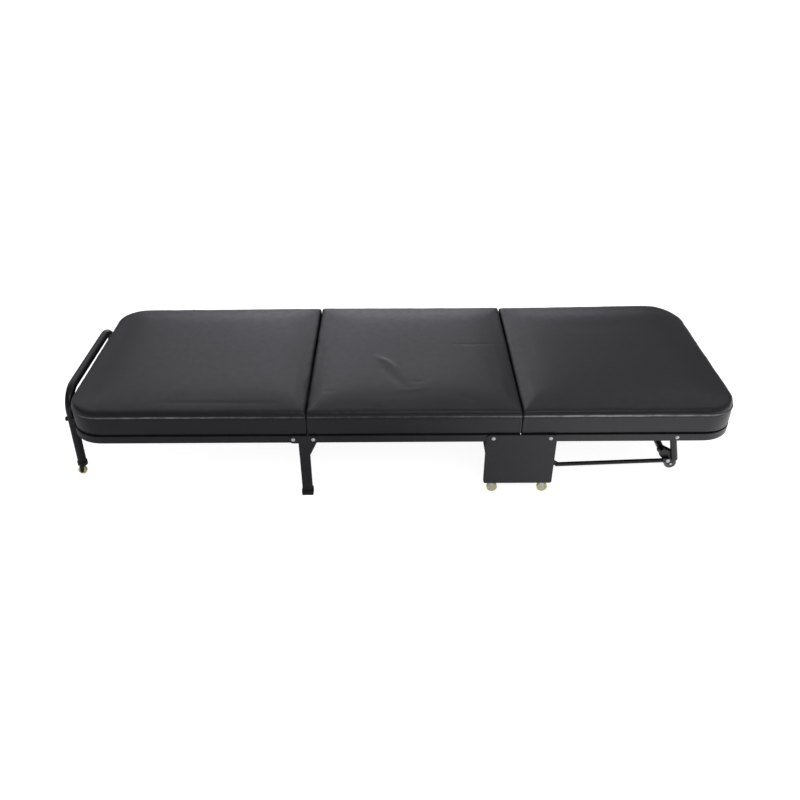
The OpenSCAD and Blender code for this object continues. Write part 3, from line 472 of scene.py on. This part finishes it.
def loftRings(name, rings, baseZ):
    bm = bmesh.new()
    rows = [[bm.verts.new((x * mm, y * mm, baseZ + z * mm)) for x, y, z in points] for points in rings]
    for lower, upper in zip(rows, rows[1:]):
        for i in range(len(lower)):
            j = (i + 1) % len(lower)
            bm.faces.new((lower[i], lower[j], upper[j], upper[i]))
    bm.faces.new(list(reversed(rows[0])))
    bm.faces.new(rows[-1])
    bmesh.ops.recalc_face_normals(bm, faces=bm.faces)
    mesh = bpy.data.meshes.new(name)
    bm.to_mesh(mesh)
    bm.free()
    return mesh


def makeCushion(name, spec):
    body, ends, seed = cushionEnds[name]
    low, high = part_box(name)
    mesh = loftRings(name + "Start", cushionRings(low, high, ends, spec), low.z)
    piece = bpy.data.objects.new(name + "_padded", mesh)
    scene.collection.objects.link(piece)
    remesh = piece.modifiers.new("voxels", "REMESH")
    remesh.mode = "VOXEL"
    remesh.voxel_size = spec["voxel"] * mm
    applyModifiers(piece)
    return {"name": name, "piece": piece, "body": body, "ends": ends, "seed": seed, "low": low, "high": high}


# The cover is held firm at its lower edge and its seam, and less along its sides and the rim of its top
filling = {
    "pressure": 4.0, "lastFrame": 20, "cap": 4.0, "quality": 4, "mass": 0.4, "stretch": 12, "shear": 6,
    "bending": 3.0, "bottomBand": 4, "seamBand": 4, "sideHold": 0.5, "seamHold": 0.9, "edgeHold": 0.92,
    "holdReach": 90.0,
}


def holdAt(x, y, height, cushion, spec, fill):
    if height < fill["bottomBand"]:
        return 1.0
    if height < spec["seam"] - fill["seamBand"]:
        return fill["sideHold"]
    if height <= spec["seam"] + fill["seamBand"]:
        return fill["seamHold"]
    inset = min(insetsAt(x, y, cushion["low"], cushion["high"], cushion["ends"]))
    return fill["edgeHold"] * (1 - easeIn(inset - spec["shoulder"], fill["holdReach"]))


def swell(made, spec, fill):
    starts = {}
    for cushion in made:
        piece, low = cushion["piece"], cushion["low"]
        starts[piece.name] = [v.co.copy() for v in piece.data.vertices]
        group = piece.vertex_groups.new(name="sewn")
        for v in piece.data.vertices:
            hold = holdAt(v.co.x, v.co.y, (v.co.z - low.z) / mm, cushion, spec, fill)
            if hold:
                group.add([v.index], hold, "REPLACE")
        cloth = piece.modifiers.new("cloth", "CLOTH")
        settings = cloth.settings
        settings.quality = fill["quality"]
        settings.mass = fill["mass"]
        settings.tension_stiffness = settings.compression_stiffness = fill["stretch"]
        settings.shear_stiffness = fill["shear"]
        settings.bending_stiffness = fill["bending"]
        settings.shrink_min = 0.0
        settings.use_pressure = True
        settings.uniform_pressure_force = fill["pressure"]
        settings.vertex_group_mass = "sewn"
        settings.pin_stiffness = 1.0
        settings.effector_weights.gravity = 0.0
        cloth.point_cache.frame_start = 1
        cloth.point_cache.frame_end = fill["lastFrame"]
    for f in range(1, fill["lastFrame"] + 1):
        scene.frame_set(f)
    for cushion in made:
        piece = cushion["piece"]
        applyModifiers(piece)
        cap = fill["cap"] * mm
        for v, start in zip(piece.data.vertices, starts[piece.name]):
            move = v.co - start
            if move.length > 0:
                v.co = start + move * (cap * (1 - math.exp(-move.length / cap)) / move.length)
    scene.frame_set(1)


made = [makeCushion(name, cushions) for name in cushionEnds]
print("cushion blocks ready", [len(c["piece"].data.vertices) for c in made])
swell(made, cushions, filling)
print("cushions swollen")


# Creases and hollows in the photograph: points from the cushion's middle, width and rise, all in mm
creases = {
    "middle_cushion": [
        ([(-108, -36), (-91, -53), (-73, -71), (-55, -99), (-42, -135), (-30, -170)], 10.5, 3.0),
        ([(-92, -92), (-72, -124), (-54, -160), (-38, -192)], 13.0, -1.8),
        ([(-9, -172), (13, -180), (31, -174)], 9.0, -0.6), ([(115, 38), (180, 35), (282, 50)], 6.0, -0.5),
        ([(-53, -219), (-11, -219), (42, -209)], 8.0, 0.5), ([(-258, -217), (-222, -223)], 10.0, -0.6),
        ([(-108, -288), (-80, -300)], 10.0, -0.8), ([(128, -244), (172, -267)], 9.0, -0.5),
    ],
    "head_cushion": [
        ([(-90, -268), (250, -272)], 9.0, -0.8), ([(250, 190), (300, 60), (318, -120)], 24.0, -1.0),
    ],
    "foot_cushion": [([(-120, 140), (180, 150)], 40.0, -1.0)],
}


# How many mm a side beside a hinge is pushed towards its neighbour, by height
seamPress = [(-4, 3.9), (1, 2.6), (5, 1.7), (15, 1.2), (30, 1.1), (47, 1.3), (57, 1.6), (66, 1.7), (76, 1.3),
             (88, 0.0)]
# The last shaping of a cushion: waves as (height, waves per metre, offset), all other values in mm
dressing = {
    "settle": 2, "broadWave": (1.1, 4.5, 1.7), "puckerWave": (1.0, 17, 4.2), "fineWave": (0.5, 60, 9.1),
    "calmRim": 6, "calmReach": 60, "puckerAt": 5, "puckerWidth": 7, "farRiseHeight": 16, "endEase": 140,
    "creaseFrom": 0.04, "creaseSpan": 0.92, "creasePower": 0.7,
    "bandFrom": 5, "bandPucker": (0.5, 34, 12), "bandPuckerWidth": 16, "bandWave": (0.4, 7, 7),
    "pressReach": 12, "cornerPush": 2.8, "cornerReach": 9, "longIn": 1.4, "sidePull": 1.4, "pullPower": 0.7,
    "edgeHeight": 5, "edgeShare": 0.35, "edgeBlend": 14, "fill": 0.9,
}


def between(x, table):
    for (x0, level0), (x1, level1) in zip(table, table[1:]):
        if x <= x1:
            return level0 + (level1 - level0) * max(0.0, (x - x0) / (x1 - x0))
    return table[-1][1]


# A crease's lift at a place, tapered towards both ends of its line
def creaseLift(x, y, middle, crease, dress):
    points, width, rise = crease
    lift, total = 0.0, len(points) - 1
    for i in range(total):
        a = Vector((middle.x + points[i][0] * mm, points[i][1] * mm))
        run = Vector((middle.x + points[i + 1][0] * mm, points[i + 1][1] * mm)) - a
        t = max(0.0, min(1.0, (Vector((x, y)) - a).dot(run) / run.length_squared))
        off = (Vector((x, y)) - a - run * t).length / mm
        along = dress["creaseFrom"] + dress["creaseSpan"] * (i + t) / total
        tapered = math.sin(math.pi * along) ** dress["creasePower"]
        lift = max(lift, math.exp(-(off / width) ** 2) * tapered)
    return lift * rise


# How far a point of the top is lifted along its normal: soft waves, puckers along the seam and creases
def topLift(x, y, inset, seed, middle, name, dress):
    rise, waves, offset = dress["broadWave"]
    softness = min(1.0, max(0.0, inset - dress["calmRim"]) / dress["calmReach"])
    lift = softness * rise * noise.noise(Vector((x * waves + seed, y * waves, offset)))
    puckers = math.exp(-((inset - dress["puckerAt"]) / dress["puckerWidth"]) ** 2)
    for rise, waves, offset in (dress["puckerWave"], dress["fineWave"]):
        lift += rise * puckers * noise.noise(Vector((x * waves + seed, y * waves, offset)))
    return lift + sum(creaseLift(x, y, middle, crease, dress) for crease in creases[name])


def bandLift(x, y, z, height, seed, spec, dress):
    rise, waves, upWaves = dress["bandPucker"]
    away = math.exp(-((spec["seam"] - height) / dress["bandPuckerWidth"]) ** 2)
    lift = rise * away * noise.noise(Vector((x * waves + seed, y * waves, z * upWaves)))
    rise, waves, upWaves = dress["bandWave"]
    return lift + rise * noise.noise(Vector((x * waves + seed, y * waves, z * upWaves)))


# How much higher a point of the top stands for the plumper far side
def farLift(x, y, height, cushion, spec, dress):
    low, high = cushion["low"], cushion["high"]
    across = max(0.0, min(1.0, (y - low.y) / (high.y - low.y)))
    along = max(0.0, min(1.0, (x - low.x) / (high.x - low.x)))
    atHead, atFoot = farRise[cushion["name"]]
    share = across * across * (3 - 2 * across) * min(1.0, (height - spec["seam"]) / dress["farRiseHeight"])
    if cushion["ends"] == "high":
        share *= easeIn((high.x - x) / mm, dress["endEase"])
    return (atHead * (1 - along) + atFoot * along) * share


# Pushes the sides beside a hinge together and sharpens their corners
def pressSeam(co, x, y, height, beside, middle, high, dress):
    reach, corner = dress["pressReach"], dress["cornerReach"]
    if beside >= reach:
        return
    near = max(0.0, beside)
    co.x += math.copysign(between(height, seamPress) * mm * (1 - near / reach), x - middle.x)
    fromSide = max(0.0, (high.y - abs(y)) / mm - dress["longIn"])
    if near < corner and fromSide < corner:
        push = dress["cornerPush"] * mm * (1 - near / corner) * (1 - fromSide / corner)
        co.x += math.copysign(push, x - middle.x)
        co.y += math.copysign(push, y)


# Draws the long sides in between their corners, and the free end too
def drawIn(co, x, y, middle, low, high, sewnEnd, dress):
    alongX = math.sin(math.pi * (x - low.x) / (high.x - low.x))
    pull = dress["longIn"] + dress["sidePull"] * max(0.0, alongX) ** dress["pullPower"]
    co.y -= math.copysign(pull * mm * abs(y) / high.y, y)
    if sewnEnd and (x - middle.x) * sewnEnd > 0:
        share = abs(x - middle.x) / (high.x - middle.x)
        co.x -= sewnEnd * dress["sidePull"] * mm * share * max(0.0, math.cos(y / high.y * math.pi / 2))


# Flattens the round lower edge where the cover is stapled under the board
def pressEdge(co, bottom, dress):
    above = max(0.0, co.z - bottom) / mm
    firm, blend = dress["edgeHeight"], dress["edgeBlend"]
    if above < firm:
        co.z = bottom + dress["edgeShare"] * above * mm
    elif above < blend:
        pressed = dress["edgeShare"] * firm
        co.z = bottom + (pressed + (above - firm) * (blend - pressed) / (blend - firm)) * mm


def dressCushion(cushion, spec, dress):
    piece, low, high, seed = cushion["piece"], cushion["low"], cushion["high"], cushion["seed"]
    smooth = piece.modifiers.new("settle", "CORRECTIVE_SMOOTH")
    smooth.iterations = dress["settle"]
    smooth.use_only_smooth = True
    sub = piece.modifiers.new("fine", "SUBSURF")
    sub.levels = sub.render_levels = 1
    applyModifiers(piece)
    normals = [v.normal.copy() for v in piece.data.vertices]
    middle = (low + high) / 2
    sewnEnd = {"low": -1, "high": 1, "none": 0}[cushion["ends"]]
    for v, normal in zip(piece.data.vertices, normals):
        x, y, z = v.co
        free, beside = insetsAt(x, y, low, high, cushion["ends"])
        height = (z - low.z) / mm
        lift = 0.0
        if height > spec["seam"]:
            lift = topLift(x, y, min(free, beside), seed, middle, cushion["name"], dress)
            v.co.z += farLift(x, y, height, cushion, spec, dress) * mm
        elif height > dress["bandFrom"]:
            lift = bandLift(x, y, z, height, seed, spec, dress)
        v.co += normal * lift * mm
        pressSeam(v.co, x, y, height, beside, middle, high, dress)
        drawIn(v.co, x, y, middle, low, high, sewnEnd, dress)
        pressEdge(v.co, low.z - spec["wrap"] * mm, dress)
    finishPiece(piece, cushion["body"], "leatherette")
    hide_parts(cushion["name"])


for cushion in made:
    dressCushion(cushion, cushions, dressing)
print("cushions dressed")


# The sewn seam in mm: a thin welt over a pressed hem on the band, with a row of stitches along the hem
seam = {
    "crest": [(-1.8, 3.0), (0.3, 2.8), (1.4, 2.0), (1.9, 0.6), (1.6, -0.9), (0.8, -1.9), (-1.8, -2.1)],
    "hem": [(-1.5, -1.5), (0.6, -1.7), (0.75, -3.2), (0.8, -5.6), (0.9, -8.2), (0.6, -8.9), (-1.5, -9.2)],
    "step": 5.0, "wave": 0.6, "waves": 16, "plumpWaves": 60, "plumpShare": 0.25, "highlightFacing": 3,
    "walkOut": 6.0, "castFrom": 10.0, "castReach": 80.0,
    "stitchDrop": 5.6, "stitchLength": 3.6, "stitchGap": 1.5, "stitchRadius": 0.34, "stitchOut": 1.15,
    "stitchSink": 0.5, "stitchShape": ((-1.0, 0.35), (-0.6, 1.0), (0.6, 1.0), (1.0, 0.35)),
    "stitchAngles": (0.3, 1.57, 2.84, 4.71),
}
# Strength of the welt's painted highlight, by place along the bed
weltHighlight = [
    (-0.95, 0.14), (-0.62, 0.18), (-0.42, 0.11), (-0.20, 0.06), (0.0, 0.04), (0.13, 0.06), (0.33, 0.14),
    (0.38, 0.24), (0.53, 0.38), (0.70, 0.34), (0.85, 0.22), (0.95, 0.12),
]


# Walks round a cushion at a given height and returns points on its surface with their outward directions
def surfacePath(cushion, height, step, seamSpec, spec):
    tree = BVHTree.FromPolygons([v.co for v in cushion["piece"].data.vertices],
                                [p.vertices for p in cushion["piece"].data.polygons])
    plain = dict(spec, cornerGrowth=0.0)
    ring = outlineRing(cushion["low"], cushion["high"], cushion["ends"], -seamSpec["walkOut"], plain)
    corners = [Vector((x * mm, y * mm, 0)) for x, y in ring]
    total = sum((b - a).length for a, b in zip(corners, corners[1:] + corners[:1]))
    count = round(total / (step * mm))
    path, walked, target = [], 0.0, 0.0
    for a, b in zip(corners, corners[1:] + corners[:1]):
        length = (b - a).length
        if length < 1e-6:
            continue
        outward = Vector(((b - a).y, -(b - a).x, 0)).normalized()
        while target <= walked + length and len(path) < count:
            at = a.lerp(b, (target - walked) / length)
            at.z = cushion["low"].z + height * mm
            start = at + outward * seamSpec["castFrom"] * mm
            hit = tree.ray_cast(start, -outward, seamSpec["castReach"] * mm)[0]
            if hit is not None:
                path.append((hit, outward))
            target += total / count
        walked += length
    smooth = []
    for i in range(len(path)):
        near = [path[(i + k) % len(path)] for k in (-1, 0, 1)]
        place = sum((p for p, _ in near), Vector()) / 3
        smooth.append((place, sum((n for _, n in near), Vector()).normalized()))
    return smooth


# How many mm the seam wanders up or down at a place
def wanderAt(place, seed, seamSpec):
    waves = seamSpec["waves"]
    return seamSpec["wave"] * noise.noise(Vector((place.x * waves + seed, place.y * waves, 2.0)))


def addSeamStrip(cushion, name, profile, path, seamSpec, paintedHighlight):
    bm = bmesh.new()
    highlightShare = bm.verts.layers.float.new("highlightShare")
    rows, waves = [], seamSpec["plumpWaves"]
    for place, outward in path:
        wander = wanderAt(place, cushion["seed"], seamSpec)
        plump = noise.noise(Vector((place.x * waves, place.y * waves, cushion["seed"])))
        swellOut = 1 + seamSpec["plumpShare"] * plump
        row = []
        for out, up in profile:
            vert = bm.verts.new(place + outward * out * swellOut * mm + Vector((0, 0, (up + wander) * mm)))
            # Painted highlight: strongest where the welt faces the front or back, and varied along the bed
            paleHighlight = between(place.x, weltHighlight) * abs(outward.y) ** seamSpec["highlightFacing"]
            vert[highlightShare] = paleHighlight if paintedHighlight else 0.0
            row.append(vert)
        rows.append(row)
    sides = len(profile)
    for i, row in enumerate(rows):
        following = rows[(i + 1) % len(rows)]
        for k in range(sides):
            bm.faces.new((row[k], row[(k + 1) % sides], following[(k + 1) % sides], following[k]))
    bmesh.ops.recalc_face_normals(bm, faces=bm.faces)
    mesh = bpy.data.meshes.new(cushion["name"] + name)
    bm.to_mesh(mesh)
    bm.free()
    piece = addPiece(cushion["name"] + "_" + name, mesh, cushion["body"], "leatherette")
    if paintedHighlight:
        mesh.materials.clear()
        mesh.materials.append(highlightedWelt)
    return piece


def addStitches(cushion, seamSpec, spec):
    pitch = seamSpec["stitchLength"] + seamSpec["stitchGap"]
    path = surfacePath(cushion, spec["seam"] - seamSpec["stitchDrop"], pitch, seamSpec, spec)
    bm = bmesh.new()
    radius, half = seamSpec["stitchRadius"] * mm, seamSpec["stitchLength"] / 2 * mm
    for place, outward in path:
        wander = wanderAt(place, cushion["seed"], seamSpec)
        along = Vector((-outward.y, outward.x, 0))
        middle = place + outward * seamSpec["stitchOut"] * mm + Vector((0, 0, wander * mm))
        rows = []
        for share, girth in seamSpec["stitchShape"]:
            sink = seamSpec["stitchSink"] * mm if abs(share) == 1 else 0
            centre = middle + along * half * share - outward * sink
            rows.append([bm.verts.new(centre + outward * radius * girth * math.cos(a) +
                                      Vector((0, 0, radius * girth * math.sin(a))))
                         for a in seamSpec["stitchAngles"]])
        sides = len(rows[0])
        for first, second in zip(rows, rows[1:]):
            for k in range(sides):
                bm.faces.new((first[k], first[(k + 1) % sides], second[(k + 1) % sides], second[k]))
        bm.faces.new(rows[0])
        bm.faces.new(rows[-1])
    bmesh.ops.recalc_face_normals(bm, faces=bm.faces)
    mesh = bpy.data.meshes.new(cushion["name"] + "Stitches")
    bm.to_mesh(mesh)
    bm.free()
    return addPiece(cushion["name"] + "_stitches", mesh, cushion["body"], "leatherette")


# These two cushions meet in the folded packet at the listed joints; their pieces get meshes of their own
squashed = {"middle_cushion": "middle_fold", "foot_cushion": "foot_fold"}
for cushion in made:
    path = surfacePath(cushion, cushions["seam"], seam["step"], seam, cushions)
    pieces = [
        cushion["piece"],
        addSeamStrip(cushion, "welt", seam["crest"], path, seam, paintedHighlight=True),
        addSeamStrip(cushion, "hem", seam["hem"], path, seam, paintedHighlight=False),
        addStitches(cushion, seam, cushions),
    ]
    joint = squashed.get(cushion["name"])
    if joint:
        for piece in pieces:
            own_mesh(piece)
print("seams sewn")


# Floor, background and soft studio light, with the sky's reflection shaped by direction
studio = {
    "floor": 0.72, "floorSize": 20, "floorRough": 0.9, "floorSpecular": 0.1, "floorGlow": 0.90,
    "floorReflectionGlow": (0.0, 0.80), "floorReflectionGlowAcross": (0.05, 0.62),
    "ambient": 0.50, "glossBase": 0.17, "tint": (0.95, 0.93, 1.02), "aim": (0, 0, 0.2),
    "lobes": [
        {"toward": (-0.03, 0.97, 0.24), "from": 0.93, "to": 1.0, "level": 1.22},
        {"toward": (0.34, 0.52, 0.78), "from": 0.90, "to": 1.0, "level": 0.55},
        {"toward": (-0.36, 0.50, 0.79), "from": 0.92, "to": 1.0, "level": 0.45},
        {"toward": (-0.20, 0.74, 0.64), "from": 0.93, "to": 1.0, "level": 0.50},
        {"toward": (-0.68, 0.57, 0.45), "from": 0.93, "to": 1.0, "level": 0.50},
        {"toward": (0.93, -0.20, 0.30), "from": 0.70, "to": 0.95, "level": 0.30},
        {"toward": (0.0, -0.10, 1.0), "from": 0.82, "to": 1.0, "level": 0.22},
    ],
    "key": {"place": (-0.4, 1.9, 1.9), "size": (2.2, 0.9), "watts": 1.6},
    "fill": {"place": (0.8, -2.6, 2.8), "size": (2.4, 1.6), "watts": 14},
}


def makeFloor(spec):
    bm = bmesh.new()
    bmesh.ops.create_grid(bm, x_segments=1, y_segments=1, size=spec["floorSize"])
    mesh = bpy.data.meshes.new("paleFloor")
    bm.to_mesh(mesh)
    bm.free()
    floor = bpy.data.objects.new("paleFloor", mesh)
    scene.collection.objects.link(floor)
    material = newMaterial("paleFloor", Base_Color=(spec["floor"],) * 3 + (1,), Roughness=spec["floorRough"],
                           Specular_IOR_Level=spec["floorSpecular"], Emission_Color=(1, 1, 1, 1))
    tree = material.node_tree
    path = addNode(tree, "ShaderNodeLightPath")
    across = addNode(tree, "ShaderNodeSeparateXYZ", [(0, objectPoint(tree))]).outputs["X"]
    # Painted reflection: the floor glows only for glossy rays, rising towards +X, so the cushion sides
    # reflect more light towards the foot
    glossy = remap(tree, across, *spec["floorReflectionGlow"], *spec["floorReflectionGlowAcross"])
    glow = mixValues(tree, path.outputs["Is Glossy Ray"], 0.0, glossy)
    glow = mixValues(tree, path.outputs["Is Camera Ray"], glow, spec["floorGlow"])
    intoShader(material, "Emission Strength", glow)
    mesh.materials.append(material)


def makeSky(spec):
    world = bpy.data.worlds.new("studio")
    scene.world = world
    world.use_nodes = True
    tree = world.node_tree
    back = tree.nodes["Background"]
    path = addNode(tree, "ShaderNodeLightPath")
    coords = addNode(tree, "ShaderNodeTexCoord")
    glossy = spec["glossBase"]
    for lobe in spec["lobes"]:
        toward = Vector(lobe["toward"]).normalized()
        facing = addNode(tree, "ShaderNodeVectorMath", [(0, coords.outputs["Generated"]), (1, toward)],
                         operation="DOT_PRODUCT").outputs["Value"]
        share = remap(tree, facing, 0.0, lobe["level"], lobe["from"], lobe["to"])
        share.node.interpolation_type = "SMOOTHSTEP"
        glossy = addNode(tree, "ShaderNodeMath", [(0, glossy), (1, share)], operation="ADD").outputs[0]
    seen = addNode(tree, "ShaderNodeMath", [
        (0, path.outputs["Is Camera Ray"]), (1, path.outputs["Is Transmission Ray"]),
    ], operation="MAXIMUM").outputs[0]
    tree.links.new(mixColours(tree, seen, spec["tint"], (1, 1, 1)), back.inputs["Color"])
    level = mixValues(tree, path.outputs["Is Glossy Ray"], spec["ambient"], glossy)
    tree.links.new(mixValues(tree, seen, level, 1.0), back.inputs["Strength"])


def makeLamp(name, spec, aim):
    lamp = bpy.data.lights.new(name, "AREA")
    lamp.shape = "RECTANGLE"
    lamp.size, lamp.size_y = spec["size"]
    lamp.energy = spec["watts"]
    lampObject = bpy.data.objects.new(name, lamp)
    lampObject.location = spec["place"]
    lampObject.rotation_euler = (Vector(aim) - Vector(spec["place"])).to_track_quat("-Z", "Y").to_euler()
    scene.collection.objects.link(lampObject)


makeFloor(studio)
makeSky(studio)
makeLamp("keyLamp", studio["key"], studio["aim"])
makeLamp("fillLamp", studio["fill"], studio["aim"])
print("studio ready")
